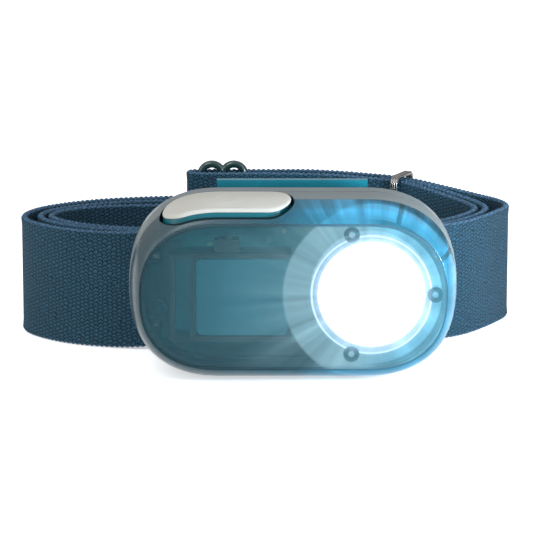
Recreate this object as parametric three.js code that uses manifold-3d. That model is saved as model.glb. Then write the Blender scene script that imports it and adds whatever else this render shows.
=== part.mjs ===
// Rechargeable running headlamp on a wide elastic headband.
// Millimetres. +X is right as seen from the front, +Y runs from the face to the back, +Z is up.
// The lamp tilts on a bracket, and the band is coiled behind it, three plies deep.

import * as THREE from 'three';
import { mergeVertices } from 'three/addons/utils/BufferGeometryUtils.js';
import Module from 'manifold-3d';

const wasm = await Module();
wasm.setup();

// ---- Driving dimensions ----

const GAP = 0.3;

// Lamp outline, seen from the front: two rounded ends joined by a straight run.
const LAMP_WIDTH = 66;
const LAMP_HEIGHT = 37;
const END_LENGTH = 19;
const END_POWER = 2.4;
const END_STEPS = 9;
const BEVEL_STEPS = 5;
const WALL = 1.5;

// Lamp depth, measured from the front face to the case's flat back.
const FACE_Y = -29;
const SPLIT_Y = -16.15;
const CASE_BACK_Y = -6.8;
const FACE_INSET = 3.8;
const FACE_BEVEL = 12.7;
const BACK_INSET = 5;
const BACK_BEVEL = 5.7;
const STRAIGHT = 6;

// Optics, as radii about the beam axis and stations along it.
const LENS_X = 15.5;
const LENS_RADIUS = 10.4;
const LENS_CROWN_Y = -29.7;
const LENS_FLANGE_RADIUS = 11.05;
const LENS_FLANGE_Y = -27.2;
const LENS_BACK_Y = -26.4;
const HOLDER_RADIUS = 12;
const HOLDER_BORE = 10.9;
const HOLDER_SPAN = [-25.4, -24];
const EAR_RADIUS = 1.3;
const EAR_HOLE_RADIUS = 0.8;
const HOLDER_SCREW_RADIUS = 12.7;
const HOLDER_SCREW_ANGLES = [0, 108, -108];
const REFLECTOR_FRONT_Y = -25.3;
const REFLECTOR_THROAT_Y = -18.7;
const REFLECTOR_THROAT_RADIUS = 2.9;
const REFLECTOR_MOUTH_RADIUS = 10;
const REFLECTOR_RIM = 10.5;
const REFLECTOR_WALL = 0.8;
const LED_HALF = 1.6;
const LED_SPAN = [-19.2, -18.4];
const LED_BOARD_RADIUS = 7.5;
const LED_BOARD_SPAN = [-18.1, -16.9];
const HEAT_SINK_RADIUS = 5;
const HEAT_SINK_SPAN = [-16.6, -14.9];

// Power button on the top edge.
const BUTTON_X = -13.2;
const BUTTON_Y = -22.1;
const BUTTON_LENGTH = 25.6;
const BUTTON_DEPTH = 9.2;
const BUTTON_MARGIN = 0.35;
const BUTTON_SKIN = 0.6;

// Case screws and the posts that they bite into.
const POST_X = 27.3;
const POST_Z = 6.9;
const POST_RADIUS = 1.4;
const POST_END_Y = -12.5;
const SCREW_HOLE_RADIUS = 0.9;
const COUNTERBORE_RADIUS = 1.7;
const COUNTERBORE_Y = -9.2;

// Power pack, as [low, high] spans behind the left part of the face.
const TRAY_X = [-24.6, -0.4];
const TRAY_Y = [-24.4, -16.2];
const TRAY_Z = [-10.6, 7.3];
const TRAY_FLOOR_Y = -17.3;
const CELL_POCKET_X = [-19.6, 5];
const LEAD_POCKET_X = [-23.6, -20.6];
const POCKET_Z = [-9.6, 6.4];
const CELL_SIZE = [18.2, 15.4, 6.5];
const CELL_CENTRE_X = -10.2;
const CELL_CENTRE_Z = -1.6;
const CELL_BACK_Y = -17.65;
const LEAD_RADIUS = 0.5;
const LEAD_HEIGHTS = [-3, -5];
const BOARD_WIDTH = 45;
const BOARD_HEIGHT = 26;
const BOARD_BACK_Y = -13.6;

// Charging port in the right end of the rear case.
const PORT_Y = [-15, -12];
const PORT_HALF_HEIGHT = 4.4;
const SOCKET_X = [26, 31.2];
const SOCKET_WALL = 0.6;
const COVER_X = [31.5, 34];
const COVER_HALF_HEIGHT = 6.1;

// Tilt hinge.
const HINGE_Y = -4.6;
const HINGE_Z = 5;
const LUG_SPANS = [[8, 12], [-12, -8]];
const KNUCKLE_HALF = 7.7;
const PIN_HALF = 12.4;
const KNUCKLE_RADIUS = 1.9;
const PIN_RADIUS = 0.9;
const PIN_HOLE_RADIUS = PIN_RADIUS + GAP;

// Bracket, with the sleeve that the band runs through.
const BRACKET_WIDTH = 31;
const BRACKET_TOP = 36.8;
const BRACKET_FRONT_Y = -2.4;
const BRACKET_BACK_Y = 4;
const SLEEVE_TOP = 29.2;
const SLOT_FRONT_Y = -0.6;
const SLOT_BACK_Y = 2.4;
const SLOT_BOTTOM = 1.7;
const SLOT_TOP = 27.5;

// Elastic band and its hardware.
const BAND_WIDTH = 25;
const BAND_THICKNESS = 1.5;
const BAND_STEP = 1.9;
const BAND_FOOT = 0.03;
const SLIDER_X = -15.2;
const SLIDER_Y = 60.4;
const SLIDER_RISE = 2.6;
const SLIDER_BAR_PITCH = 5;
const SLIDER_WIRE = 1.7;
const KEEPER_X = 25.3;
const KEEPER_Y = 53.5;
const KEEPER_RISE = 2;
const KEEPER_TURN = -26;
const KEEPER_OUTER = [9.8, 29];
const KEEPER_WIRE = 1.7;
const KEEPER_DEPTH = 2.4;

// Moves the middle of the object's outer box onto the origin.
const CENTRE_X = 5.1;
const CENTRE_Y = -16.73;

// ---- Materials ----

function material(color, roughness, metalness = 0) {
  return new THREE.MeshStandardMaterial({ color, roughness, metalness });
}

const TINTED = material(0x2c6473, 0.15);
const SMOKED = material(0x5f6f75, 0.35);
const TEAL = material(0x1c7d94, 0.3);
const CLEAR = material(0xeef6fa, 0.05);
const PALE_RUBBER = material(0xd9d9d2, 0.6);
const BLACK_RUBBER = material(0x20262a, 0.8);
const DARK_PLASTIC = material(0x2d3a3e, 0.5);
const MIRRORED = material(0xe8ecef, 0.1, 1);
const STEEL = material(0x9a9d9e, 0.3, 1);
const ALUMINIUM = material(0xc2c6c9, 0.4, 1);
const BOARD_GREEN = material(0x1d5a45, 0.5);
const PHOSPHOR = material(0xf2e38a, 0.4);
const CELL_WRAP = material(0x3d7fa3, 0.4);
const LEAD_RED = material(0xb02a26, 0.5);
const LEAD_BLACK = material(0x1b1b1c, 0.5);
const WEBBING = material(0x2a4a66, 0.95);
const DARK_WIRE = material(0x1e3335, 0.3, 0.4);

// ---- Solids ----

// A closed geometry as a solid, with shared vertices merged and collapsed triangles dropped.
function toSolid(geometry) {
  const bare = geometry.clone();
  bare.deleteAttribute('normal');
  bare.deleteAttribute('uv');
  const merged = mergeVertices(bare, 1e-4);
  const index = merged.index.array;
  const triangles = [];
  for (let i = 0; i < index.length; i += 3) {
    const [a, b, c] = index.slice(i, i + 3);
    if (a !== b && b !== c && c !== a) {
      triangles.push(a, b, c);
    }
  }
  return new wasm.Manifold(new wasm.Mesh({
    numProp: 3,
    vertProperties: new Float32Array(merged.attributes.position.array),
    triVerts: new Uint32Array(triangles),
  }));
}

function toGeometry(solid) {
  const mesh = solid.getMesh();
  const geometry = new THREE.BufferGeometry();
  geometry.setAttribute('position', new THREE.BufferAttribute(mesh.vertProperties, 3));
  geometry.setIndex(new THREE.BufferAttribute(mesh.triVerts, 1));
  geometry.computeVertexNormals();
  return geometry;
}

function join(...solids) {
  return solids.reduce((whole, piece) => whole.add(piece));
}

function cut(solid, ...tools) {
  return tools.reduce((whole, tool) => whole.subtract(tool), solid);
}

function box([x0, x1], [y0, y1], [z0, z1]) {
  const geometry = new THREE.BoxGeometry(x1 - x0, y1 - y0, z1 - z0);
  geometry.translate((x0 + x1) / 2, (y0 + y1) / 2, (z0 + z1) / 2);
  return toSolid(geometry);
}

function rodAlongY(radius, [y0, y1], x = 0, z = 0, sides = 16) {
  const geometry = new THREE.CylinderGeometry(radius, radius, y1 - y0, sides);
  geometry.translate(x, (y0 + y1) / 2, z);
  return toSolid(geometry);
}

function rodAlongX(radius, [x0, x1], y, z, sides = 16) {
  const geometry = new THREE.CylinderGeometry(radius, radius, x1 - x0, sides);
  geometry.rotateZ(Math.PI / 2);
  geometry.translate((x0 + x1) / 2, y, z);
  return toSolid(geometry);
}

// A profile of [radius, y] points turned about the Y axis.
function turned(profile, sides = 32) {
  const points = profile.map(([radius, y]) => new THREE.Vector2(radius, y));
  return toSolid(new THREE.LatheGeometry(points, sides));
}

// A shape drawn in X and Z, extruded towards the front from backY.
function extrudedForward(shape, backY, depth, bevel = {}) {
  const geometry = new THREE.ExtrudeGeometry(shape, { depth, bevelEnabled: false, ...bevel });
  geometry.rotateX(Math.PI / 2);
  geometry.translate(0, backY, 0);
  return toSolid(geometry);
}

function roundedRectangle(width, height, radius, PathClass = THREE.Shape) {
  const x = width / 2;
  const y = height / 2;
  const path = new PathClass();
  path.moveTo(x, -y + radius);
  path.lineTo(x, y - radius);
  path.absarc(x - radius, y - radius, radius, 0, Math.PI / 2);
  path.lineTo(-x + radius, y);
  path.absarc(-x + radius, y - radius, radius, Math.PI / 2, Math.PI);
  path.lineTo(-x, -y + radius);
  path.absarc(-x + radius, -y + radius, radius, Math.PI, 1.5 * Math.PI);
  path.lineTo(x - radius, -y);
  path.absarc(x - radius, -y + radius, radius, 1.5 * Math.PI, 2 * Math.PI);
  return path;
}

// ---- Lamp shell ----

// The lamp's outline about its centre, drawn inwards by inset.
function lampOutline(inset, PathClass = THREE.Shape) {
  const straight = LAMP_WIDTH / 2 - END_LENGTH;
  const reach = END_LENGTH - inset;
  const halfHeight = LAMP_HEIGHT / 2 - inset;
  const points = [];
  for (const side of [1, -1]) {
    for (let i = -END_STEPS; i <= END_STEPS; i += 1) {
      const angle = side * (i / END_STEPS) * (Math.PI / 2);
      const across = Math.abs(Math.cos(angle)) ** (2 / END_POWER);
      const up = Math.sign(Math.sin(angle)) * Math.abs(Math.sin(angle)) ** (2 / END_POWER);
      points.push(new THREE.Vector2(side * (straight + reach * across), halfHeight * up));
    }
  }
  return new PathClass(points);
}

// Front half of the lamp as a full block, drawn inwards by inset all over.
function frontBlock(inset) {
  const backY = FACE_Y + inset + STRAIGHT + FACE_BEVEL;
  return extrudedForward(lampOutline(FACE_INSET + inset), backY, STRAIGHT, {
    bevelEnabled: true,
    bevelSize: FACE_INSET,
    bevelThickness: FACE_BEVEL,
    bevelSegments: BEVEL_STEPS,
  });
}

// Rear half of the lamp as a full block, drawn inwards by inset all over.
function rearBlock(inset) {
  return extrudedForward(lampOutline(BACK_INSET + inset), CASE_BACK_Y - inset - BACK_BEVEL, STRAIGHT, {
    bevelEnabled: true,
    bevelSize: BACK_INSET,
    bevelThickness: BACK_BEVEL,
    bevelSegments: BEVEL_STEPS,
  });
}

const SPAN = 80;

function inFrontOf(y) {
  return box([-SPAN, SPAN], [y - SPAN, y], [-SPAN, SPAN]);
}

function behind(y) {
  return box([-SPAN, SPAN], [y, y + SPAN], [-SPAN, SPAN]);
}

function corners() {
  return [[POST_X, POST_Z], [POST_X, -POST_Z], [-POST_X, POST_Z], [-POST_X, -POST_Z]];
}

function holderScrewPlaces() {
  return HOLDER_SCREW_ANGLES.map((degrees) => {
    const angle = THREE.MathUtils.degToRad(degrees);
    return [LENS_X + HOLDER_SCREW_RADIUS * Math.cos(angle), HOLDER_SCREW_RADIUS * Math.sin(angle)];
  });
}

// The button's plan shape as a tall prism, grown by margin all round.
function buttonPrism(margin) {
  const length = BUTTON_LENGTH + 2 * margin;
  const depth = BUTTON_DEPTH + 2 * margin;
  const shape = roundedRectangle(length, depth, depth / 2 - 0.1);
  const geometry = new THREE.ExtrudeGeometry(shape, { depth: 14, bevelEnabled: false, curveSegments: 6 });
  geometry.translate(BUTTON_X, BUTTON_Y, 9);
  return toSolid(geometry);
}

function frontCover() {
  const innerFace = FACE_Y + WALL;
  const shell = cut(frontBlock(0), frontBlock(WALL));
  const root = innerFace - 0.2;
  const bossEnd = HOLDER_SPAN[0] - 0.4;
  const posts = corners().map(([x, z]) => rodAlongY(POST_RADIUS, [root, POST_END_Y], x, z));
  const bosses = holderScrewPlaces().map(([x, z]) => rodAlongY(EAR_RADIUS, [root, bossEnd], x, z, 12));
  const supports = join(...posts, ...bosses).intersect(frontBlock(0.5));
  const postHoles = corners().map(([x, z]) => rodAlongY(SCREW_HOLE_RADIUS, [-26, 0], x, z, 12));
  const bossHoles = holderScrewPlaces().map(([x, z]) => rodAlongY(EAR_HOLE_RADIUS, [innerFace + 0.1, 0], x, z, 12));
  const lensHole = rodAlongY(LENS_RADIUS + GAP, [FACE_Y - 2, innerFace + 1], LENS_X, 0, 40);
  const trimmed = cut(shell, behind(SPLIT_Y - GAP / 2));
  return cut(join(trimmed, supports), lensHole, buttonPrism(BUTTON_MARGIN), ...postHoles, ...bossHoles);
}

function rearCase() {
  const shell = cut(rearBlock(0), rearBlock(WALL), inFrontOf(SPLIT_Y + GAP / 2));
  const bosses = corners().map(([x, z]) => rodAlongY(POST_RADIUS + 0.5, [POST_END_Y + GAP, CASE_BACK_Y], x, z));
  const lugs = LUG_SPANS.map((span) => hingeLug(span, [CASE_BACK_Y - 1.2, HINGE_Y], HINGE_Z - LAMP_HEIGHT / 2));
  const body = join(shell, join(...bosses).intersect(rearBlock(0.3)), ...lugs);
  const screwHoles = corners().map(([x, z]) => rodAlongY(SCREW_HOLE_RADIUS, [-14, 0], x, z, 12));
  const counterbores = corners().map(([x, z]) => rodAlongY(COUNTERBORE_RADIUS, [COUNTERBORE_Y, 0], x, z));
  const pinHole = rodAlongX(PIN_HOLE_RADIUS, [-14, 14], HINGE_Y, HINGE_Z - LAMP_HEIGHT / 2);
  const windowHeight = COVER_HALF_HEIGHT + GAP;
  const portWindow = box([29, 40], [PORT_Y[0] - 0.7, PORT_Y[1] + 0.7], [-windowHeight, windowHeight]);
  return cut(body, ...screwHoles, ...counterbores, pinHole, portWindow);
}

// A knuckle round the pin with a web along Y.
function hingeLug(span, webY, z) {
  const web = box(span, webY, [z - KNUCKLE_RADIUS, z + KNUCKLE_RADIUS]);
  return join(rodAlongX(KNUCKLE_RADIUS, span, HINGE_Y, z, 20), web);
}

function caseGasket() {
  const ring = lampOutline(2.1);
  ring.holes.push(lampOutline(2.8, THREE.Path));
  return extrudedForward(ring, -15.3, 1.6);
}

function caseScrew() {
  return turned([[0, -24], [0.6, -24], [0.6, -8.9], [1.4, -8.9], [1.4, -7.9], [0, -7.9]], 12);
}

// ---- Optics, about the beam axis ----

function lensWindow() {
  return turned([
    [0, LENS_CROWN_Y],
    [0.48 * LENS_RADIUS, LENS_CROWN_Y + 0.1],
    [0.79 * LENS_RADIUS, LENS_CROWN_Y + 0.3],
    [LENS_RADIUS, FACE_Y],
    [LENS_RADIUS, LENS_FLANGE_Y],
    [LENS_FLANGE_RADIUS, LENS_FLANGE_Y],
    [LENS_FLANGE_RADIUS, LENS_BACK_Y],
    [0, LENS_BACK_Y],
  ], 40);
}

function lensHolder() {
  const places = holderScrewPlaces().map(([x, z]) => [x - LENS_X, z]);
  const ears = places.map(([x, z]) => rodAlongY(EAR_RADIUS, HOLDER_SPAN, x, z, 14));
  const holes = places.map(([x, z]) => rodAlongY(EAR_HOLE_RADIUS, [-27, -23], x, z, 10));
  const ring = rodAlongY(HOLDER_RADIUS, HOLDER_SPAN, 0, 0, 40);
  return cut(join(ring, ...ears), rodAlongY(HOLDER_BORE, [-27, -23], 0, 0, 40), ...holes);
}

function holderScrew() {
  return turned([[0, -26.9], [0.5, -26.9], [0.5, -23.7], [1.1, -23.7], [1.1, -22.9], [0, -22.9]], 10);
}

function reflector() {
  const steps = 6;
  const growth = REFLECTOR_MOUTH_RADIUS - REFLECTOR_THROAT_RADIUS;
  const depth = REFLECTOR_FRONT_Y - REFLECTOR_THROAT_Y;
  const inner = [];
  for (let i = 0; i <= steps; i += 1) {
    const fraction = i / steps;
    inner.push([REFLECTOR_THROAT_RADIUS + growth * Math.sqrt(fraction), REFLECTOR_THROAT_Y + depth * fraction]);
  }
  const outer = inner.map(([radius, y]) => [Math.min(radius + REFLECTOR_WALL, REFLECTOR_RIM), y + 0.2]);
  return turned([...inner, [REFLECTOR_RIM, REFLECTOR_FRONT_Y], ...outer.reverse(), inner[0]], 32);
}

// ---- Power pack and electronics ----

function batteryTray() {
  const hollow = [TRAY_Y[0] - 1, TRAY_FLOOR_Y];
  const cellPocket = box(CELL_POCKET_X, hollow, POCKET_Z);
  const leadPocket = box(LEAD_POCKET_X, hollow, POCKET_Z);
  return cut(box(TRAY_X, TRAY_Y, TRAY_Z), cellPocket, leadPocket);
}

function battery() {
  const [width, height, depth] = CELL_SIZE;
  const cell = extrudedForward(roundedRectangle(width, height, 1.2), CELL_BACK_Y, depth);
  return cell.translate([CELL_CENTRE_X, 0, CELL_CENTRE_Z]);
}

function batteryLead(z) {
  const route = new THREE.CatmullRomCurve3([
    new THREE.Vector3(-0.7, -20, z),
    new THREE.Vector3(1, -20, z),
    new THREE.Vector3(2.3, -19.2, z),
    new THREE.Vector3(2.6, -17.6, z),
    new THREE.Vector3(2.6, -15, z),
  ]);
  const section = new THREE.Shape();
  section.absarc(0, 0, LEAD_RADIUS, 0, 2 * Math.PI);
  const geometry = new THREE.ExtrudeGeometry(section, { steps: 8, curveSegments: 8, extrudePath: route });
  return toSolid(geometry);
}

function tactSwitch() {
  const plunger = new THREE.CylinderGeometry(1, 1, 1.5, 12);
  plunger.rotateX(Math.PI / 2);
  plunger.translate(BUTTON_X, BUTTON_Y, 9.95);
  return join(box([-15.7, -10.7], [-24, -20.2], [7.6, 10]), toSolid(plunger));
}

function circuitBoard() {
  return extrudedForward(roundedRectangle(BOARD_WIDTH, BOARD_HEIGHT, 3), BOARD_BACK_Y, 1);
}

function usbSocket() {
  const mouthHeight = PORT_HALF_HEIGHT - SOCKET_WALL;
  const mouth = [PORT_Y[0] + SOCKET_WALL, PORT_Y[1] - SOCKET_WALL];
  return cut(
    box(SOCKET_X, PORT_Y, [-PORT_HALF_HEIGHT, PORT_HALF_HEIGHT]),
    box([SOCKET_X[0] + 1.5, SOCKET_X[1] + 9], mouth, [-mouthHeight, mouthHeight]),
  );
}

function portPlug() {
  const depth = [PORT_Y[0] - 0.4, PORT_Y[1] + 0.4];
  const plate = box(COVER_X, depth, [-COVER_HALF_HEIGHT, COVER_HALF_HEIGHT]).intersect(rearBlock(0));
  return join(plate, box([COVER_X[0] - 1.9, COVER_X[0] + 0.5], [-14.1, -13], [-3.2, 3.2]));
}

// ---- Power button ----

function buttonPad() {
  return cut(buttonPrism(0).intersect(frontBlock(-0.5)), frontBlock(BUTTON_SKIN));
}

function buttonBase() {
  const skin = cut(buttonPrism(0).intersect(frontBlock(BUTTON_SKIN + GAP)), frontBlock(2.6));
  const stem = box([BUTTON_X - 2, BUTTON_X + 2], [BUTTON_Y - 1.5, BUTTON_Y + 1.5], [11.6, 16]);
  return join(skin, stem.intersect(frontBlock(1.2)));
}

// ---- Bracket ----

function bracket() {
  const half = BRACKET_WIDTH / 2;
  const plate = box([-half, half], [BRACKET_FRONT_Y, SLOT_FRONT_Y], [0, BRACKET_TOP]);
  const sleeve = box([-half, half], [BRACKET_FRONT_Y, BRACKET_BACK_Y], [0, SLEEVE_TOP]);
  const slot = box([-SPAN, SPAN], [SLOT_FRONT_Y, SLOT_BACK_Y], [SLOT_BOTTOM, SLOT_TOP]);
  const knuckle = hingeLug([-KNUCKLE_HALF, KNUCKLE_HALF], [HINGE_Y, -2], HINGE_Z);
  const pinHole = rodAlongX(PIN_HOLE_RADIUS, [-9, 9], HINGE_Y, HINGE_Z);
  return cut(join(plate, sleeve, knuckle), slot, pinHole);
}

// ---- Headband ----

// The band's middle line as [x, y, rise]: the sewn end, the middle ply, the outer ply that carries
// the lamp, the fold round the slider, the inner ply and the hemmed tail.
const BAND_ROUTE = [
  [20.5, 55.9, 2], [25.3, 53.5, 2], [30.8, 49.1, 1.6], [36, 43.6, 0.8], [40.4, 37.6, 0.2], [42.3, 31.6, 0],
  [41.2, 26, 0], [38.3, 20.4, 0], [34.3, 15.3, 0], [28.6, 10.9, 0], [20, 7.6, 0], [10, 6.1, 0],
  [0, 5.6, 0], [-12, 5.5, 0], [-22, 5.2, 0], [-32, 5.6, 0], [-41, 8, 0], [-47.5, 11.8, 0],
  [-52, 16.7, 0], [-53.7, 22, 0], [-52.3, 27, 0], [-48, 31.8, 0], [-41.5, 35.7, 0], [-34, 38.2, 0],
  [-25, 39.4, 0], [-14, 39.3, 0], [-6, 38.7, 0], [-1.2, 39.1, 0], [0.6, 41.1, 0], [-1.2, 43.1, 0],
  [-6, 43.7, 0], [-14, 43.9, 0], [-25, 43.4, 0], [-34, 41.9, 0], [-42.5, 39.3, 0], [-49.5, 35, 0],
  [-54.6, 29.6, 0], [-57.05, 23.2, 0], [-56.2, 17, 0], [-51.6, 10.6, 0], [-44.5, 5.6, 0], [-34, 2.3, 0.2],
  [-24, 1.2, 1.2], [-14, 0.9, 2], [0, 0.9, 2], [13, 0.9, 2], [18.5, 2.1, 1.7], [25, 5.6, 0.8],
  [32, 10.6, 0.2], [36.9, 15.3, 0], [40.8, 20.6, 0], [44.1, 26.3, 0], [46.5, 31.4, 0], [46.9, 35.6, 0],
  [45, 40.8, 0], [41, 45.6, 0.2], [35, 50.4, 0.9], [26.2, 55.5, 2], [18, 59.3, 2.2], [11, 61.4, 2.4],
  [4, 62.2, 2.6], [-5, 62.3, 2.6], [-13, 62.3, 2.6], [-20.8, 62.3, 2.6], [-22.2, 61.75, 2.6],
  [-22.8, 60.4, 2.6], [-22.2, 59.05, 2.6], [-20.8, 58.5, 2.6], [-13, 58.5, 2.6], [-5, 58.5, 2.6],
  [3.5, 58.4, 2.5], [10, 57.6, 2.4], [16.5, 55.6, 2.2], [24.4, 51.6, 2], [29.4, 47.1, 1.5],
  [34.4, 41.7, 0.7], [38.3, 35.9, 0.2], [40, 30.9, 0], [39, 26.6, 0], [36.3, 21.6, 0],
  [32.5, 17, 0], [27.2, 13.1, 0], [19.2, 9.9, 0], [10, 8.3, 0], [0, 7.8, 0], [-12, 7.7, 0],
  [-22, 7.4, 0], [-31.5, 7.8, 0], [-39.8, 10, 0], [-45.8, 13.5, 0], [-49.9, 17.9, 0], [-51.4, 22.2, 0],
  [-50.2, 26.1, 0], [-46.5, 29.7, 0], [-40.5, 32.3, 0], [-31, 33.7, 0], [-20, 33.9, 0], [-9, 33.4, 0],
];

// A route that keeps the band's section upright all the way along.
class UprightRoute extends THREE.CatmullRomCurve3 {
  computeFrenetFrames(segments) {
    const frames = { tangents: [], normals: [], binormals: [] };
    for (let i = 0; i <= segments; i += 1) {
      const tangent = this.getTangentAt(i / segments).setZ(0).normalize();
      const up = new THREE.Vector3(0, 0, 1);
      frames.tangents.push(tangent);
      frames.normals.push(up);
      frames.binormals.push(new THREE.Vector3().crossVectors(tangent, up));
    }
    return frames;
  }
}

function headband() {
  const points = BAND_ROUTE.map(([x, y, rise]) => new THREE.Vector3(x, y, BAND_WIDTH / 2 + BAND_FOOT + rise));
  const route = new UprightRoute(points, false, 'centripetal');
  route.arcLengthDivisions = 1200;
  const section = new THREE.Shape();
  section.moveTo(-BAND_WIDTH / 2, -BAND_THICKNESS / 2);
  section.lineTo(BAND_WIDTH / 2, -BAND_THICKNESS / 2);
  section.lineTo(BAND_WIDTH / 2, BAND_THICKNESS / 2);
  section.lineTo(-BAND_WIDTH / 2, BAND_THICKNESS / 2);
  const steps = Math.round(route.getLength() / BAND_STEP);
  return toSolid(new THREE.ExtrudeGeometry(section, { steps, extrudePath: route }));
}

// Three upright bars under two rounded humps, top and bottom.
function slider() {
  const halfHeight = BAND_WIDTH / 2 + 0.6;
  const radius = (SLIDER_BAR_PITCH + SLIDER_WIRE) / 2;
  const hump = SLIDER_BAR_PITCH / 2;
  const shape = new THREE.Shape();
  shape.moveTo(2 * hump + SLIDER_WIRE / 2, -halfHeight + radius / 2);
  shape.absarc(hump, halfHeight - radius / 2, radius, 0, 0.78 * Math.PI);
  shape.absarc(-hump, halfHeight - radius / 2, radius, 0.22 * Math.PI, Math.PI);
  shape.absarc(-hump, -halfHeight + radius / 2, radius, Math.PI, 1.78 * Math.PI);
  shape.absarc(hump, -halfHeight + radius / 2, radius, 1.22 * Math.PI, 2 * Math.PI);
  const slotRadius = (SLIDER_BAR_PITCH - SLIDER_WIRE) / 2;
  for (const side of [1, -1]) {
    const slot = new THREE.Path();
    slot.moveTo(side * hump + slotRadius, -halfHeight + radius / 2);
    slot.absarc(side * hump, halfHeight - radius / 2, slotRadius, 0, Math.PI);
    slot.absarc(side * hump, -halfHeight + radius / 2, slotRadius, Math.PI, 2 * Math.PI);
    shape.holes.push(slot);
  }
  const geometry = new THREE.ExtrudeGeometry(shape, {
    depth: SLIDER_WIRE,
    bevelEnabled: false,
    curveSegments: 7,
  });
  geometry.rotateX(Math.PI / 2);
  geometry.translate(0, SLIDER_WIRE / 2, 0);
  return toSolid(geometry);
}

// Wire loop round all the plies, drawn in its own plane and thick along X.
function keeper() {
  const [width, height] = KEEPER_OUTER;
  const shape = roundedRectangle(width, height, 1.6);
  shape.holes.push(roundedRectangle(width - 2 * KEEPER_WIRE, height - 2 * KEEPER_WIRE, 0.6, THREE.Path));
  const geometry = new THREE.ExtrudeGeometry(shape, { depth: KEEPER_DEPTH, bevelEnabled: false, curveSegments: 4 });
  geometry.translate(0, 0, -KEEPER_DEPTH / 2);
  geometry.rotateX(Math.PI / 2);
  geometry.rotateZ(Math.PI / 2);
  return toSolid(geometry);
}

// ---- Scene graph ----

function add(parent, name, solid, look, x = 0, y = 0, z = 0) {
  const mesh = new THREE.Mesh(toGeometry(solid), look);
  mesh.name = name;
  mesh.position.set(x, y, z);
  parent.add(mesh);
  return mesh;
}

const headlamp = new THREE.Group();
const assembly = new THREE.Group();
assembly.position.set(CENTRE_X, CENTRE_Y, 0);
headlamp.add(assembly);

const lamp = new THREE.Group();
lamp.position.z = LAMP_HEIGHT / 2;
assembly.add(lamp);
add(lamp, 'front_cover', frontCover(), TINTED);
add(lamp, 'rear_case', rearCase(), SMOKED);
add(lamp, 'case_gasket', caseGasket(), BLACK_RUBBER);
corners().forEach(([x, z], i) => add(lamp, `case_screw_${i + 1}`, caseScrew(), STEEL, x, 0, z));
add(lamp, 'circuit_board', circuitBoard(), BOARD_GREEN);
add(lamp, 'battery_tray', batteryTray(), DARK_PLASTIC);
add(lamp, 'battery', battery(), CELL_WRAP);
add(lamp, 'battery_lead_red', batteryLead(LEAD_HEIGHTS[0]), LEAD_RED);
add(lamp, 'battery_lead_black', batteryLead(LEAD_HEIGHTS[1]), LEAD_BLACK);
add(lamp, 'tact_switch', tactSwitch(), DARK_PLASTIC);
add(lamp, 'usb_socket', usbSocket(), STEEL);
add(lamp, 'port_plug', portPlug(), BLACK_RUBBER);
add(lamp, 'button_pad', buttonPad(), PALE_RUBBER);
add(lamp, 'button_base', buttonBase(), TEAL);

const optics = new THREE.Group();
optics.position.x = LENS_X;
lamp.add(optics);
add(optics, 'lens_window', lensWindow(), CLEAR);
add(optics, 'lens_holder', lensHolder(), TEAL);
add(optics, 'reflector', reflector(), MIRRORED);
add(optics, 'led_emitter', box([-LED_HALF, LED_HALF], LED_SPAN, [-LED_HALF, LED_HALF]), PHOSPHOR);
add(optics, 'led_board', rodAlongY(LED_BOARD_RADIUS, LED_BOARD_SPAN, 0, 0, 28), ALUMINIUM);
add(optics, 'heat_sink', rodAlongY(HEAT_SINK_RADIUS, HEAT_SINK_SPAN, 0, 0, 24), ALUMINIUM);
holderScrewPlaces().forEach(([x, z], i) => {
  add(lamp, `holder_screw_${i + 1}`, holderScrew(), STEEL, x, 0, z);
});

add(assembly, 'bracket', bracket(), TEAL);
add(assembly, 'hinge_pin', rodAlongX(PIN_RADIUS, [-PIN_HALF, PIN_HALF], HINGE_Y, HINGE_Z), STEEL);

add(assembly, 'headband', headband(), WEBBING);
add(assembly, 'slider', slider(), DARK_WIRE, SLIDER_X, SLIDER_Y, BAND_WIDTH / 2 + SLIDER_RISE);
const keeperHeight = BAND_WIDTH / 2 + KEEPER_RISE;
const keeperRing = add(assembly, 'keeper_ring', keeper(), STEEL, KEEPER_X, KEEPER_Y, keeperHeight);
keeperRing.rotation.z = THREE.MathUtils.degToRad(KEEPER_TURN);

export default headlamp;
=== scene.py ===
# Rechargeable headlamp with a lit lens, on a bracket and a coiled elastic headband.
# Shapes are drawn in millimetres from the lamp's middle and face, and placed from the CAD's own boxes.

import math

import bmesh
import bpy
import numpy as np
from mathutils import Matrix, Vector


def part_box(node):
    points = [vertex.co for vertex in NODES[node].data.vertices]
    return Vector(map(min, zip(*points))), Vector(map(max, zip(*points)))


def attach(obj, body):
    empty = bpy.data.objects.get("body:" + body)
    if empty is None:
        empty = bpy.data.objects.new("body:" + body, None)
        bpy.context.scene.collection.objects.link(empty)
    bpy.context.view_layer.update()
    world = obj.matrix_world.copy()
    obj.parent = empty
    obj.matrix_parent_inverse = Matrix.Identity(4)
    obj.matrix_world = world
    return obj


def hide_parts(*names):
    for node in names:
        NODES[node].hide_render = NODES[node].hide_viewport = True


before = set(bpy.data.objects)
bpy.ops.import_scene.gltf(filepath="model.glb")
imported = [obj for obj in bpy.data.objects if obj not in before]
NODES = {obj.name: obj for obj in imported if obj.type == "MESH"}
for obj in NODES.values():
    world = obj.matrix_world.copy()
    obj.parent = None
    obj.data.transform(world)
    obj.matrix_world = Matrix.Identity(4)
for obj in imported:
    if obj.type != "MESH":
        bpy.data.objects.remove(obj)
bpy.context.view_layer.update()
SCENE = bpy.context.scene

# ---- Datums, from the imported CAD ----

MM = 0.001
COVER_LOW, COVER_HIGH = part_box("front_cover")
LENS_LOW, LENS_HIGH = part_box("lens_window")
PAD_LOW, PAD_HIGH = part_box("button_pad")
SLIDER_LOW, SLIDER_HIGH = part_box("slider")
KEEPER_LOW, KEEPER_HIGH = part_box("keeper_ring")

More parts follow.
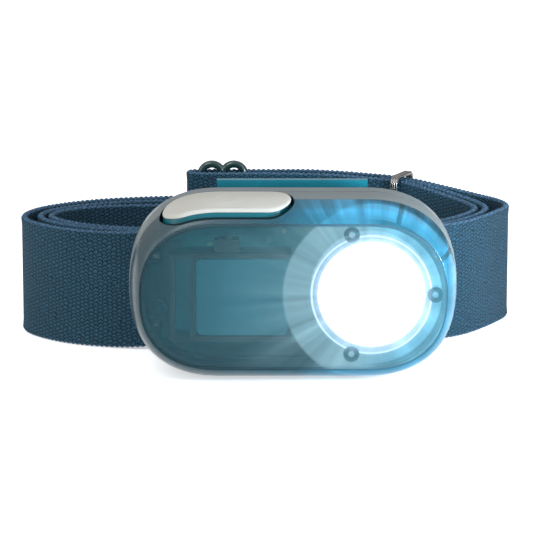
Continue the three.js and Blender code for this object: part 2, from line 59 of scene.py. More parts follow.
FACE_Y = -29.0
ORIGIN = Vector(((COVER_LOW.x + COVER_HIGH.x) / 2, COVER_LOW.y - FACE_Y * MM, 0))


def at(x, y, z):
    """A point in millimetres from the lamp's middle, as a row-frame point in metres."""
    return Vector((x, y, z)) * MM + ORIGIN


def own(point):
    """A row-frame point in metres, as millimetres from the lamp's middle."""
    return (Vector(point) - ORIGIN) / MM


# ---- Dimensions, in millimetres ----

# The lamp's outline: a straight middle between two rounded ends.
HALF_HEIGHT = (COVER_HIGH.z - COVER_LOW.z) / MM / 2
HALF_WIDTH = (COVER_HIGH.x - COVER_LOW.x) / MM / 2
END_LENGTH = 19.0
END_POWER = 2.4
STRAIGHT = HALF_WIDTH - END_LENGTH
OUTLINE_POINTS = 240
WALL = 1.5

# How far the flat face lies inside that outline, and how deep the bevel round it is.
FACE_SIDES = 2.9
FACE_TOP = 5.0
FACE_BOTTOM = 3.6
FACE_BEVEL = 12.7
BEVEL_START = 0.97
COVER_END_Y = -16.3
# The groove that frames the face, as (share of the inset, extra depth), and its rings painted dark as the
# shade in the groove.
FACE_GROOVE = (
    (0.985, 0.0), (0.965, 0.05), (0.940, 0.24), (0.915, 0.32), (0.885, 0.33),
    (0.860, 0.28), (0.840, 0.12), (0.820, 0.03), (0.800, 0.0),
)
GROOVE_SHADE_RINGS = range(4, 8)
GROOVE_END = FACE_GROOVE[-1][0] - 0.03

# Screw posts behind the face, from the lamp's middle, and the case's bores for their screws.
POST_X = 27.3
POST_Z = 6.9
POSTS = [(x, HALF_HEIGHT + z) for x in (-POST_X, POST_X) for z in (-POST_Z, POST_Z)]
POST_RADIUS = 1.4
POST_HOLE = 0.9
POST_END_Y = -12.7
SCREW_BORE = 1.7
SCREW_BORE_Y = (-9.2, -5)

# Power button: its plan, the opening and recess round it, and the stem under it.
BUTTON_X, BUTTON_Y, _ = own((PAD_LOW + PAD_HIGH) / 2)
BUTTON_HALF_LENGTH = (PAD_HIGH.x - PAD_LOW.x) / MM / 2
BUTTON_HALF_DEPTH = (PAD_HIGH.y - PAD_LOW.y) / MM / 2
BUTTON_END_STEPS = 30
BUTTON_RUN_STEPS = 30
BUTTON_GAP = 0.30
# The recess, as (margin round the button's plan, depth below the cover).
SCOOP_LEVELS = ((0.30, 0.55), (0.60, 0.68), (0.90, 0.66), (1.04, 0.48), (1.12, 0.10), (1.15, -0.60))
SCOOP_SIDE = 0.3
SCOOP_REACH = 1.6
SCOOP_LOW = 20
SCOOP_HIGH = 42
PAD_UNDERSIDE = -0.16
PAD_EDGE = 0.04
PAD_ROUND = 0.26
PAD_ROUND_WIDTH = 0.5
PAD_CROWN = 0.12
# The mark in the pad, as a ridge's height, radius and width and a dish's depth and radius.
MARK_RIDGE = (0.07, 2.1, 0.3)
MARK_DISH = (0.12, 6.0)
BASE_UNDERSIDE = -2.5
BASE_TOP = -0.19
STEM_HALF_SIZE = (2, 1.5)
STEM_LOW = 30.3
STEM_HIGH = 34

# Rear case, its charging port and its hinge lugs.
BACK_INSET = 5.0
BACK_BEVEL = 5.7
BACK_EDGE = 0.4
CASE_START_Y = -16.0
CASE_BACK_Y = -6.8
PORT_LOW = (29, -15.7, HALF_HEIGHT - 6.4)
PORT_HIGH = (40, -11.3, HALF_HEIGHT + 6.4)
HINGE_Y = -4.6
HINGE_Z = 5.0
LUG_STARTS = (8.0, -12.0)
LUG_WIDTH = 4
LUG_RADIUS = 1.9
LUG_HOLE = 1.2
LUG_ROOT_Y = -8.0

# Lens window and the ring that holds it.
LENS_X, _, LENS_Z = own((LENS_LOW + LENS_HIGH) / 2)
LENS_HOLE = 10.7
LENS_CUT_Y = (FACE_Y - 3, FACE_Y + 4)
LENS_RADIUS = 10.4
LENS_DOME = 0.7
LENS_FLANGE = 11.05
LENS_FLANGE_Y = -27.2
LENS_BACK_Y = -26.4
HOLDER_INNER = 10.9
HOLDER_OUTER = 12.0
HOLDER_CHAMFER = 0.1
HOLDER_FRONT_Y = -25.4
HOLDER_BACK_Y = -24.0
EAR_REACH = 12.7
EAR_ANGLES = [math.radians(degrees) for degrees in (0, 108, -108)]
EAR_OFFSETS = [(EAR_REACH * math.cos(angle), EAR_REACH * math.sin(angle)) for angle in EAR_ANGLES]
EAR_RADIUS = 1.3
EAR_HOLE = 0.8

# Headband: elastic whose edges are rolled, slightly thicker and scalloped.
BAND_WIDTH = 25.0
BAND_FOOT = 0.03
BAND_STEP = 0.28
BAND_HALF_THICKNESS = 0.60
BAND_FLAT_HALF = 11.9
EDGE_START = 10.6
EDGE_SWELL = 0.13
EDGE_RUN = 1.3
EDGE_ROUND = 0.75
EDGE_HALF_THICKNESS = 0.73
EDGE_CORNER = 0.35
SCALLOP_PITCH = 1.12
SCALLOP_DEPTH = 0.34
SCALLOP_THINNING = 0.16

# Slider: the share of each hump's half turn left off at its ends, and the bar's reach and thickness.
HUMP_OPENING = 0.06
HUMP_STEPS = 16
BAR_OVERLAP = 0.6
BAR_SHARE = 0.96

# Keeper ring: turns of wire at an angle across the plies.
KEEPER_ANGLE = math.radians(-26)
KEEPER_WIRE = 0.42
KEEPER_HALF_DEPTH = 4.9
KEEPER_MARGIN = 0.8
KEEPER_CORNER = 1.4
KEEPER_TURNS = 3
KEEPER_SPREAD = 1.56

# ---- Mesh helpers ----

NEAR_AXIS = 0.001


def scene_object(name, data):
    """A new object in the scene, holding that data."""
    obj = bpy.data.objects.new(name, data)
    SCENE.collection.objects.link(obj)
    return obj


def finish_mesh(obj, sharp_degrees=35):
    """Smooth shading with sharp edges kept, and normals that point outwards."""
    mesh = obj.data
    bm = bmesh.new()
    bm.from_mesh(mesh)
    bmesh.ops.remove_doubles(bm, verts=bm.verts, dist=1e-7)
    bmesh.ops.recalc_face_normals(bm, faces=bm.faces)
    bm.to_mesh(mesh)
    bm.free()
    mesh.polygons.foreach_set("use_smooth", [True] * len(mesh.polygons))
    mesh.set_sharp_from_angle(angle=math.radians(sharp_degrees))
    mesh.update()
    return obj


def mesh_object(name, points, faces, sharp_degrees=35):
    """An object from points in millimetres from the lamp's middle."""
    mesh = bpy.data.meshes.new(name)
    mesh.from_pydata([at(*p) for p in points], [], faces)
    return finish_mesh(scene_object(name, mesh), sharp_degrees)


def loft(name, rings, capped=True, sharp_degrees=35):
    """Rings of equal length joined by quads, with flat caps or closed round on themselves."""
    count = len(rings[0])
    points = [p for ring in rings for p in ring]
    faces = []
    last = len(rings) - 1 if capped else len(rings)
    for i in range(last):
        for j in range(count):
            a = i * count + j
            b = i * count + (j + 1) % count
            ahead = ((i + 1) % len(rings) - i) * count
            faces.append((a, b, b + ahead, a + ahead))
    if capped:
        faces.append(tuple(range(count)))
        faces.append(tuple(range((len(rings) - 1) * count, len(rings) * count)))
    return mesh_object(name, points, faces, sharp_degrees)


def turned(name, profile, x, z, sides=96, sharp_degrees=35):
    """A closed profile of (radius, y) turned about an axis along Y."""
    rings = []
    for i in range(sides):
        angle = 2 * math.pi * i / sides
        rings.append([(x + r * math.cos(angle), y, z + r * math.sin(angle)) for r, y in profile])
    return loft(name, rings, capped=False, sharp_degrees=sharp_degrees)


def sleeve(name, inner, outer, front, back, x, z, sides):
    """A straight-walled ring about an axis along Y. With inner at NEAR_AXIS it is a plug."""
    profile = [(inner, front), (outer, front), (outer, back), (inner, back)]
    return turned(name, profile, x, z, sides)


def tube(name, path, radius, closed=False, sides=16):
    """A round wire of one radius along a path of points."""
    points = [Vector(p) for p in path]
    count = len(points)
    rings = []
    side = None
    for i, point in enumerate(points):
        ahead = points[(i + 1) % count] if closed or i < count - 1 else point
        behind = points[i - 1] if closed or i > 0 else point
        tangent = (ahead - behind).normalized()
        if side is None:
            side = tangent.orthogonal().normalized()
        side = (side - tangent * side.dot(tangent)).normalized()
        other = tangent.cross(side)
        turn = [2 * math.pi * k / sides for k in range(sides)]
        rings.append([point + (side * math.cos(a) + other * math.sin(a)) * radius for a in turn])
    return loft(name, rings, capped=not closed)


def bake(obj):
    """The object's modifiers, applied."""
    graph = bpy.context.evaluated_depsgraph_get()
    mesh = bpy.data.meshes.new_from_object(obj.evaluated_get(graph))
    obj.modifiers.clear()
    obj.data = mesh
    return obj


def carve(obj, tools):
    """The object with each tool cut out of it in turn. The tools are used up."""
    for tool in tools:
        cut = obj.modifiers.new("cut", "BOOLEAN")
        cut.operation = "DIFFERENCE"
        cut.solver = "EXACT"
        cut.material_mode = "TRANSFER"
        cut.object = tool
        bake(obj)
        bpy.data.objects.remove(tool)
    return finish_mesh(obj)


def join_meshes(name, objects):
    """One object from several, which are used up."""
    bm = bmesh.new()
    materials = []
    for obj in objects:
        materials += [m for m in obj.data.materials if m and m not in materials]
        bm.from_mesh(obj.data)
        bpy.data.objects.remove(obj)
    mesh = bpy.data.meshes.new(name)
    bm.to_mesh(mesh)
    bm.free()
    for material in materials:
        mesh.materials.append(material)
    return finish_mesh(scene_object(name, mesh))


def block(name, low, high, bevel):
    """A box with rounded edges."""
    bm = bmesh.new()
    bmesh.ops.create_cube(bm, size=1)
    for vert in bm.verts:
        vert.co = at(*[lo + (hi - lo) * (c + 0.5) for lo, hi, c in zip(low, high, vert.co)])
    edges = list(bm.edges)
    bmesh.ops.bevel(bm, geom=edges, offset=bevel * MM, segments=3, profile=0.5, affect="EDGES")
    mesh = bpy.data.meshes.new(name)
    bm.to_mesh(mesh)
    bm.free()
    return finish_mesh(scene_object(name, mesh))


def install(obj, body, slot, material, *nodes):
    """A finished piece on its body, standing for its CAD nodes."""
    if material:
        obj.data.materials.clear()
        obj.data.materials.append(material)
    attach(obj, body)
    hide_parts(*nodes)


# ---- Shader helpers ----


def feed(tree, node, values):
    """Each value put into the node's input of that name or number: linked if it is a field or a socket."""
    for key, value in values.items():
        value = value.socket if isinstance(value, Field) else value
        if isinstance(value, bpy.types.NodeSocket):
            tree.links.new(value, node.inputs[key])
        else:
            node.inputs[key].default_value = value


class Field:
    """A number in a shader that ordinary arithmetic works on."""

    def __init__(self, tree, socket):
        self.tree = tree
        self.socket = socket

    def math(self, operation, *others):
        node = self.tree.nodes.new("ShaderNodeMath")
        node.operation = operation
        feed(self.tree, node, dict(enumerate((self, *others))))
        return Field(self.tree, node.outputs[0])

    def __add__(self, other):
        return self.math("ADD", other)

    def __sub__(self, other):
        return self.math("SUBTRACT", other)

    def __mul__(self, other):
        return self.math("MULTIPLY", other)

    def __truediv__(self, other):
        return self.math("DIVIDE", other)

    def inverse(self):
        """One minus the value."""
        return (self * -1) + 1

    def step(self, low, high, start=0.0, end=1.0):
        """A smooth step from start at low to end at high."""
        node = self.tree.nodes.new("ShaderNodeMapRange")
        node.interpolation_type = "SMOOTHSTEP"
        if low > high:
            low, high, start, end = high, low, end, start
        limits = {"From Min": low, "From Max": high, "To Min": start, "To Max": end}
        feed(self.tree, node, {"Value": self, **limits})
        return Field(self.tree, node.outputs["Result"])

    def band(self, low, high, edge):
        """One between low and high, with soft edges."""
        return self.step(low - edge, low) * self.step(high + edge, high)


class Look:
    """A node material about one Principled shader."""

    def __init__(self, name, roughness=0.5, metallic=0.0, **constants):
        self.material = bpy.data.materials.new(name)
        self.material.use_nodes = True
        self.tree = self.material.node_tree
        self.shader = self.tree.nodes["Principled BSDF"]
        named = {socket.replace("_", " "): value for socket, value in constants.items()}
        feed(self.tree, self.shader, {"Roughness": roughness, "Metallic": metallic, **named})

    def link(self, source, target):
        feed(self.tree, self.shader, {target: source})

    def place(self, origin=(0, 0, 0)):
        """Object coordinates in millimetres from a row-frame point."""
        coordinates = self.tree.nodes.new("ShaderNodeTexCoord")
        mapping = self.tree.nodes.new("ShaderNodeMapping")
        shift = {"Location": [-c / MM for c in origin], "Scale": (1 / MM,) * 3}
        feed(self.tree, mapping, {"Vector": coordinates.outputs["Object"], **shift})
        return mapping.outputs["Vector"]

    def split(self, vector):
        node = self.tree.nodes.new("ShaderNodeSeparateXYZ")
        feed(self.tree, node, {0: vector})
        return [Field(self.tree, out) for out in node.outputs]

    def combine(self, x, y, z):
        node = self.tree.nodes.new("ShaderNodeCombineXYZ")
        feed(self.tree, node, {"X": x, "Y": y, "Z": z})
        return node.outputs[0]

    def noise(self, vector, scale, detail=3.0, roughness=0.5):
        node = self.tree.nodes.new("ShaderNodeTexNoise")
        settings = {"Scale": scale, "Detail": detail, "Roughness": roughness}
        feed(self.tree, node, {"Vector": vector, **settings})
        return Field(self.tree, node.outputs["Fac"])

    def cells(self, vector, scale, feature="F1"):
        node = self.tree.nodes.new("ShaderNodeTexVoronoi")
        node.feature = feature
        feed(self.tree, node, {"Vector": vector, "Scale": scale})
        return Field(self.tree, node.outputs["Distance"])

    def mix(self, factor, first, second):
        """A colour between two colours, either of which may be a socket."""
        node = self.tree.nodes.new("ShaderNodeMix")
        node.data_type = "RGBA"
        node.clamp_factor = True
        first, second = [(*c, 1) if isinstance(c, tuple) else c for c in (first, second)]
        feed(self.tree, node, {0: factor, 6: first, 7: second})
        return node.outputs[2]

    def bump(self, height, distance, strength=1.0):
        """A bump of that many millimetres."""
        node = self.tree.nodes.new("ShaderNodeBump")
        feed(self.tree, node, {"Height": height, "Strength": strength, "Distance": distance * MM})
        self.link(node.outputs["Normal"], "Normal")


def moulded(name, colour, dark, roughness, grain=2.2, **constants):
    """Moulded plastic or rubber: fine grain, a slow change of tone and uneven gloss."""
    look = Look(name, roughness, **constants)
    place = look.place()
    slow = look.noise(place, 0.12, 2)
    fine = look.noise(place, grain, 4, 0.6)
    look.link(look.mix(slow * 0.7 + fine * 0.3, dark, colour), "Base Color")
    look.link(fine * 0.16 + (roughness - 0.08), "Roughness")
    look.bump(fine, 0.03, 0.5)
    return look.material


def metal(name, colour, dark, roughness, stretch=(0.4, 6.0, 6.0), **constants):
    """Bare metal with drawn lines along X and uneven polish."""
    look = Look(name, roughness, 1.0, **constants)
    x, y, z = look.split(look.place())
    lines = look.noise(look.combine(x * stretch[0], y * stretch[1], z * stretch[2]), 1.0, 4, 0.6)
    look.link(look.mix(lines, dark, colour), "Base Color")
    look.link(lines * 0.2 + (roughness - 0.1), "Roughness")
    look.bump(lines, 0.015, 0.4)
    return look.material


# ---- Materials ----

RIB_ANGLES = (70, 27)


def from_lens(look):
    """The place from the lens's middle on the face, its x, y and z, and its distance across the face."""
    place = look.place(at(LENS_X, FACE_Y, LENS_Z))
    x, y, z = look.split(place)
    return place, x, y, z, (x * x + z * z).math("SQRT")


def bevel_mask(x, z):
    """One outside the flat face, nought on it."""
    over = ((x + LENS_X).math("ABSOLUTE") - STRAIGHT).math("MAXIMUM", 0.0) / (END_LENGTH - FACE_SIDES)
    face_middle = HALF_HEIGHT + (FACE_BOTTOM - FACE_TOP) / 2
    up = (z + (LENS_Z - face_middle)).math("ABSOLUTE") / (HALF_HEIGHT - (FACE_TOP + FACE_BOTTOM) / 2)
    return (over.math("POWER", END_POWER) + up.math("POWER", END_POWER)).step(1.01, 1.06)


def shadows_behind(x, z):
    """Screw ears and ribs behind the cover, as dark shapes in the glow."""
    shadow = None
    for ear_x, ear_z in EAR_OFFSETS:
        away = ((x - ear_x).math("POWER", 2.0) + (z - ear_z).math("POWER", 2.0)).math("SQRT")
        ear = away.step(1.75, 1.45) * away.step(0.45, 0.75)
        shadow = shadow.math("MAXIMUM", ear) if shadow else ear
    for degrees in RIB_ANGLES:
        angle = math.radians(degrees)
        off_line = (x * math.sin(angle) - z * math.cos(angle)).math("ABSOLUTE")
        along = x * math.cos(angle) + z * math.sin(angle)
        rib = off_line.step(0.65, 0.4) * along.step(14.2, 14.8)
        shadow = shadow.math("MAXIMUM", rib * 0.85)
    return shadow


def tinted_shell():
    """Dark tinted cover, lit from inside round the lens, with a grey band along its rear edge."""
    look = Look(
        "tinted_shell", 0.12, IOR=1.45, Specular_IOR_Level=0.36, Coat_Weight=0.06, Coat_Roughness=0.05
    )
    place, x, y, z, radius = from_lens(look)
    heading = look.combine(x / radius, 0.0, z / radius)
    bevel = bevel_mask(x, z)

    # Light that spreads in the tinted plastic: rays, a halo, and a bright collar at the lens.
    rays = look.noise(heading, 3.4, 3, 0.55).step(0.3, 0.72)
    fine_rays = look.noise(heading, 11.0, 2, 0.5).step(0.35, 0.7)
    patches = look.noise(heading, 2.1, 2, 0.4).step(0.38, 0.62)
    veil = radius.step(46, 12) * radius.step(40, 11)
    leftward = x.step(4, -12)
    rightward = x.step(-7, 7)
    streaks = veil * (rays * 0.75 + fine_rays * 0.15 + 0.1) * (leftward * 0.75 + 0.25)
    halo = radius.step(17.9, 17.3)
    collar = radius.step(12.9, 11.2)
    bloom = radius.step(12.2, 10.5)
    ring = radius.band(11.75, 12.0, 0.12)
    wedge = (x * 0.5 + z).step(2, 12) * y.step(0.5, 2.5) * radius.step(24, 17)
    wedge = wedge * (fine_rays * 0.9 + rays * 0.4 + 0.15)
    # Painted shadow of the case's inner wall: an arc right of the lens, dark in the glow and more opaque
    # there.
    wall_shadow = radius.band(14.1, 15.0, 0.3) * x.step(-3, 4)
    shadow = shadows_behind(x, z).math("MAXIMUM", wall_shadow * 0.85)

    lit = halo * (rightward * 0.46 + 0.26) * (patches * 0.40 + 0.8) + streaks * 0.55 + wedge * 0.45
    lit = lit * (shadow * -0.8 + 1)
    lit = lit + collar * 0.14 + bloom * 0.2 + ring * shadow.inverse() * 0.8
    cyan = look.mix(rightward, (0.44, 0.66, 0.74), (0.26, 0.66, 0.92))
    cyan = look.mix(bevel, cyan, (0.09, 0.50, 0.88))
    colour = look.mix(collar * 0.9 + ring, cyan, (0.56, 0.74, 1.0))

    # Grey paint behind the rear edge, grain and tone in the plastic, and a painted highlight that makes the
    # bevel's left end paler.
    painted = y.step(6.6, 7.3)
    tone = look.noise(place, 0.10, 2)
    dust = look.noise(place, 1.6, 4, 0.6)
    tint = look.mix(tone, (0.004, 0.040, 0.056), (0.010, 0.070, 0.092))
    # Painted highlight: the left end of the bevel is given a paler grey-teal.
    tint = look.mix(bevel * x.step(-12, -36), tint, (0.060, 0.095, 0.110))
    grey = look.mix(dust, (0.130, 0.155, 0.160), (0.165, 0.190, 0.190))
    look.link(look.mix(painted, tint, grey), "Base Color")
    look.link(colour, "Emission Color")
    look.link(lit * painted.inverse(), "Emission Strength")
    look.link(painted * 0.20 + dust * 0.08 + 0.17, "Roughness")
    opaque = painted.math("MAXIMUM", halo * 0.66).math("MAXIMUM", wall_shadow * 0.9)
    opaque = opaque.math("MAXIMUM", bevel * x.step(6, -6) * 0.74)
    look.link(opaque.math("MAXIMUM", 0.44), "Alpha")
    look.bump(dust, 0.01, 0.25)
    return look.material


def lit_lens():
    """Clear window with the lamp on behind it: white, a little bluer at the rim."""
    look = Look("lens_clear", 0.08, IOR=1.49, Coat_Weight=0.4)
    place, _, _, _, radius = from_lens(look)
    flutes = look.noise(place, 0.9, 2)
    rim = radius.step(9.6, 10.5)
    look.link(look.mix(rim + flutes * 0.05, (1.0, 1.0, 1.0), (0.80, 0.90, 1.0)), "Emission Color")
    look.link(radius.step(10.6, 10.1) * 3.2 + radius.step(11.2, 10.6) * 0.15, "Emission Strength")
    look.link(look.mix(flutes, (0.90, 0.95, 0.98), (0.97, 0.99, 1.0)), "Base Color")
    look.bump(flutes, 0.02, 0.2)
    return look.material


def lit_holder():
    """The lens holder's teal plastic, glowing along its rim."""
    look = Look("lit_holder", 0.3)
    place, _, _, _, radius = from_lens(look)
    grain = look.noise(place, 1.4, 3)
    look.link(look.mix(grain, (0.02, 0.10, 0.13), (0.04, 0.16, 0.20)), "Base Color")
    look.link(look.mix(grain, (0.45, 0.75, 1.0), (0.65, 0.88, 1.0)), "Emission Color")
    look.link(radius.band(11.8, 12.05, 0.1) * 1.2 + 0.12, "Emission Strength")
    look.bump(grain, 0.02, 0.4)
    return look.material


def webbing():
    """Knitted elastic: staggered stitches in upright columns with painted shade between them, and paler
    rolled edges.
    """
    look = Look("webbing", 0.9, Specular_IOR_Level=0.1, Sheen_Weight=0.03, Sheen_Roughness=0.5)
    coordinates = look.tree.nodes.new("ShaderNodeTexCoord")
    along, across, _ = look.split(coordinates.outputs["UV"])
    flat = look.combine(along, across, 0.0)
    wander = look.noise(flat, 0.45, 3) - 0.5
    column = along / 1.02 + wander * 1.6
    within = column.math("FRACT")
    lean = (within - 0.5).math("ABSOLUTE") * 2
    stagger = (column.math("FLOOR") * 0.5).math("FRACT")
    row = across / 0.80 + stagger + lean * 0.5 + wander * 1.6
    stitch = (row * math.pi).math("SINE").math("ABSOLUTE")
    width = (within * math.pi).math("SINE").step(-0.5, 0.75)
    yarn = look.noise(look.combine(along * 3, across * 3, 0.0), 1.6, 4, 0.65)
    height = stitch * width * 0.75 + yarn * 0.35
    selvedge = across.math("ABSOLUTE").step(11.9, 12.35)
    slow = look.noise(flat, 0.06, 2)
    dark = look.mix(slow, (0.002, 0.009, 0.015), (0.003, 0.013, 0.022))
    light = look.mix(slow, (0.019, 0.062, 0.095), (0.029, 0.082, 0.128))
    # Painted shade and highlight: the stitches' low parts take the dark colour and their raised parts the
    # light one.
    body = look.mix(height.step(0.12, 0.85), dark, light)
    edge = look.mix(yarn, (0.040, 0.095, 0.165), (0.110, 0.200, 0.320))
    look.link(look.mix(selvedge * (stitch * 0.4 + 0.6) * 0.8, body, edge), "Base Color")
    look.link(yarn * 0.15 + 0.8, "Roughness")
    look.bump(height, 0.30, 1.0)
    return look.material


def stage_floor():
    """Pale matte floor, lit enough to stay near white."""
    look = Look("floor", 0.9)
    grain = look.noise(look.place(), 0.02, 3)
    pale = look.mix(grain, (0.93, 0.93, 0.93), (0.95, 0.95, 0.95))
    look.link(pale, "Base Color")
    look.link(pale, "Emission Color")
    look.shader.inputs["Emission Strength"].default_value = 0.5
    return look.material


def circuit_mask():
    """Green solder mask with copper runs and pads under it, and a painted teal glow of the lamp's light,
    stronger to the right.
    """
    look = Look("board_green", 0.35, Coat_Weight=0.3)
    place = look.place()
    x, _, z = look.split(place)
    runs = look.cells(look.combine(x * 0.5, 0.0, z), 0.6, "DISTANCE_TO_EDGE").step(0.05, 0.02)
    dots = look.cells(look.combine(x, 0.0, z), 0.30).step(0.22, 0.16)
    grain = look.noise(place, 1.5, 3)
    mask = look.mix(grain, (0.010, 0.075, 0.055), (0.018, 0.110, 0.080))
    copper = look.mix(runs * 0.6, mask, (0.05, 0.22, 0.12))
    look.link(look.mix(dots, copper, (0.45, 0.36, 0.14)), "Base Color")
    # Painted light: a teal glow standing for the lamp's light inside the case, stronger to the right.
    look.link(look.mix(runs * 0.5, (0.030, 0.210, 0.265), (0.045, 0.190, 0.210)), "Emission Color")
    look.link(x.step(-30, 8, 0.32, 0.6), "Emission Strength")
    look.bump(runs + dots, 0.04, 0.6)
    return look.material


def cell_wrap():
    """Shrunk film over the cell, with light from the lamp's end on it."""
    look = Look("cell_wrap", 0.25, Coat_Weight=0.4)
    place = look.place()
    x, _, z = look.split(place)
    creases = look.noise(look.combine(x * 0.2, 0.0, z * 2.0), 1.2, 4, 0.6)
    film = look.mix(creases, (0.012, 0.150, 0.220), (0.030, 0.240, 0.330))
    look.link(film, "Base Color")
    look.link(look.mix(creases, (0.020, 0.250, 0.310), (0.040, 0.300, 0.360)), "Emission Color")
    look.link(x.step(-26, 4, 0.16, 0.50), "Emission Strength")
    look.bump(creases, 0.06, 0.5)
    return look.material


def painted_groove_shade():
    """The groove that frames the face, painted near-black as the shade in it, and faintly lit beside the
    lens.
    """
    look = Look("painted_groove_shade", 0.6)
    place, _, _, _, radius = from_lens(look)
    grain = look.noise(place, 1.8, 3)
    look.link(look.mix(grain, (0.001, 0.020, 0.030), (0.003, 0.034, 0.048)), "Base Color")
    look.link(look.mix(grain, (0.06, 0.22, 0.36), (0.10, 0.30, 0.46)), "Emission Color")
    look.link(radius.step(24, 14) * 0.55, "Emission Strength")
    look.bump(grain, 0.02, 0.4)
    return look.material


def tray_plastic():
    """Dark tray walls round pockets whose floors pass the lamp's light."""
    look = Look("tray_plastic", 0.45)
    place = look.place(at(0, FACE_Y, HALF_HEIGHT))
    x, y, _ = look.split(place)
    grain = look.noise(place, 2.0, 4, 0.6)
    floor = y.step(10.9, 11.5)
    look.link(look.mix(grain, (0.050, 0.052, 0.045), (0.085, 0.088, 0.078)), "Base Color")
    look.link(look.mix(grain, (0.015, 0.170, 0.250), (0.025, 0.220, 0.300)), "Emission Color")
    look.link(floor * x.step(-34, -2, 0.25, 0.6), "Emission Strength")
    look.bump(grain, 0.03, 0.5)
    return look.material


TINTED = tinted_shell()
TRAY = tray_plastic()
# Painted shade: the face groove is given a near-black opaque plastic in place of the tinted one.
GROOVE_SHADE = painted_groove_shade()
# Painted shade: the recess round the button is given near-black opaque plastic, standing for the shade in
# it.
RECESS_SHADE = moulded("recess", (0.002, 0.020, 0.028), (0.001, 0.010, 0.015), 0.6, Specular_IOR_Level=0.12)
SMOKED = moulded("smoked_case", (0.175, 0.205, 0.220), (0.125, 0.150, 0.165), 0.34, Coat_Weight=0.15)
TEAL = moulded("teal_plastic", (0.012, 0.230, 0.310), (0.006, 0.150, 0.210), 0.22, Coat_Weight=0.3)
EDGE_TEAL = moulded("edge_teal", (0.0, 0.125, 0.155), (0.0, 0.085, 0.110), 0.35)
LENS = lit_lens()
HOLDER = lit_holder()
PALE = moulded("pale_rubber", (0.475, 0.455, 0.415), (0.420, 0.405, 0.370), 0.5, 3.0)
BLACK = moulded("black_rubber", (0.022, 0.027, 0.030), (0.012, 0.015, 0.017), 0.65)
DARK = moulded("dark_plastic", (0.090, 0.105, 0.100), (0.060, 0.075, 0.072), 0.45)
MIRROR = metal("mirrored", (0.90, 0.92, 0.95), (0.80, 0.83, 0.87), 0.12)
STEEL = metal("steel", (0.62, 0.63, 0.64), (0.40, 0.41, 0.42), 0.28)
ALUMINIUM = metal("aluminium", (0.75, 0.77, 0.79), (0.55, 0.57, 0.60), 0.38)
BOARD = circuit_mask()
PHOSPHOR = moulded("phosphor", (0.95, 0.85, 0.30), (0.85, 0.72, 0.20), 0.4)
WRAP = cell_wrap()
KEEPER_STEEL = metal("keeper_steel", (0.34, 0.33, 0.31), (0.17, 0.17, 0.16), 0.25)
LEAD_RED = moulded("lead_red", (0.42, 0.020, 0.016), (0.30, 0.012, 0.010), 0.4)
LEAD_BLACK = moulded("lead_black", (0.020, 0.020, 0.022), (0.010, 0.010, 0.012), 0.4)
WEBBING = webbing()
WIRE = moulded("dark_wire", (0.012, 0.040, 0.040), (0.006, 0.022, 0.022), 0.25, Coat_Weight=0.5)

# ---- Lamp outline ----


def outline_parts():
    """Points spread evenly round the lamp, each as (straight part, end part, height part)."""
    dense = []
    for side in (1, -1):
        for i in range(901):
            angle = side * (i / 900 - 0.5) * math.pi
            across = abs(math.cos(angle)) ** (2 / END_POWER)
            up = math.copysign(abs(math.sin(angle)) ** (2 / END_POWER), math.sin(angle))
            dense.append((side * STRAIGHT, side * across, up))
    dense.append(dense[0])
    where = [(s + END_LENGTH * c, HALF_HEIGHT * u) for s, c, u in dense]
    run = [0.0]
    for a, b in zip(where, where[1:]):
        run.append(run[-1] + math.dist(a, b))
    wanted = [run[-1] * k / OUTLINE_POINTS for k in range(OUTLINE_POINTS)]
    columns = [np.interp(wanted, run, [part[i] for part in dense]) for i in range(3)]
    return list(zip(*columns))


OUTLINE = outline_parts()


def outline(y, sides, top=None, bottom=None):
    """The lamp's outline drawn inwards by those insets, at one depth."""
    top = sides if top is None else top
    bottom = sides if bottom is None else bottom
    reach = END_LENGTH - sides
    half = HALF_HEIGHT - (top + bottom) / 2
    middle = HALF_HEIGHT + (bottom - top) / 2
    return [(s + reach * c, y, middle + half * u) for s, c, u in OUTLINE]


def face_outline(y, share, inset):
    """The front block's outline where its insets have that share of their full size."""
    return outline(y, FACE_SIDES * share + inset, FACE_TOP * share + inset, FACE_BOTTOM * share + inset)


def bevel_depth(share):
    """Depth behind the face at which the insets have that share."""
    return FACE_BEVEL * (1 - math.sqrt(1 - (1 - share) ** 2))


def bevel_share(y, inset):
    """Share of the insets at depth y on the front block drawn inwards by inset."""
    level = min(max(1 - (y - FACE_Y - inset) / FACE_BEVEL, 0), 1)
    return 1 - math.sqrt(1 - level * level)


def face_side(inset, steps, end_y, groove=False):
    """Rings from the flat face back to end_y, on the front block drawn inwards by inset."""
    face_y = FACE_Y + inset
    rings = [face_outline(face_y, 1.1, inset), face_outline(face_y, 1.0, inset)]
    if groove:
        rings += [face_outline(face_y + bevel_depth(s) + extra, s, inset) for s, extra in FACE_GROOVE]
    first = GROOVE_END if groove else BEVEL_START
    for i in range(steps + 1):
        share = first * (1 - i / steps)
        y = face_y + bevel_depth(share)
        if y < end_y:
            rings.append(face_outline(y, share, inset))
    rings.append(face_outline(end_y, bevel_share(end_y, inset), inset))
    return rings


def lamp_top(x, y, grow):
    """Height of the front block's top at x and y, with the block grown by grow."""
    share = bevel_share(y, -grow)
    over = max(abs(x) - STRAIGHT, 0) / (END_LENGTH - FACE_SIDES * share + grow)
    rise = max(1 - min(over, 1) ** END_POWER, 0) ** (1 / END_POWER)
    half = HALF_HEIGHT - (FACE_TOP + FACE_BOTTOM) / 2 * share + grow
    middle = HALF_HEIGHT + (FACE_BOTTOM - FACE_TOP) / 2 * share
    return middle + half * rise


# ---- Front cover ----


